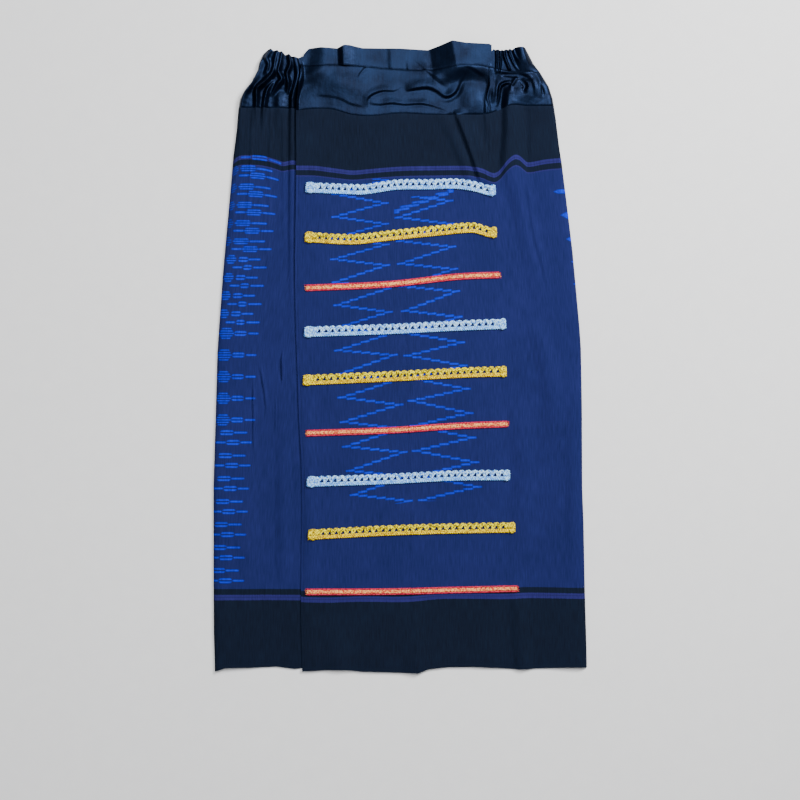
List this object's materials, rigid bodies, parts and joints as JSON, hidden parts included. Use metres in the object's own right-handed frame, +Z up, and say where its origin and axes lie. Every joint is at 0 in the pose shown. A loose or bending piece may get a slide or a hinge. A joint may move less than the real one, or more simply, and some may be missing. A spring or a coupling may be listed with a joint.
{
  "type": "wrap skirt",
  "caption": "Long wrap skirt of ikat cloth laid flat, with a satin yoke, a waistband gathered on elastic at both sides and metallic braids sewn across the overlap.",
  "frame": {"origin": "under the middle of the skirt's outline, on the surface that it lies on", "axes": "+X to the right of the skirt seen from its front, +Y towards the waist, +Z up out of the front"},
  "size_m": [0.569, 0.9612, 0.0161],
  "materials": {
    "satin": "soft sheen, dark teal navy",
    "ikat_cloth": "matt ribbed cotton, indigo with black borders and bright blue ikat",
    "silver_braid": "metallic thread, silver",
    "gold_braid": "metallic thread, gold",
    "red_braid": "corded, red with a gold twist"
  },
  "bodies": {
    "root": {"back_waistband": "satin", "back_yoke": "satin", "back_panel": "ikat_cloth", "under_waistband": "satin", "under_yoke": "satin", "under_panel": "ikat_cloth", "front_waistband": "satin", "right_casing": "satin", "over_yoke": "satin", "over_panel": "ikat_cloth", "braid_1_silver": "silver_braid", "braid_2_gold": "gold_braid", "braid_3_red": "red_braid", "braid_4_silver": "silver_braid", "braid_5_gold": "gold_braid", "braid_6_red": "red_braid", "braid_7_silver": "silver_braid", "braid_8_gold": "gold_braid", "braid_9_red": "red_braid"}
  },
  "joints": []
}
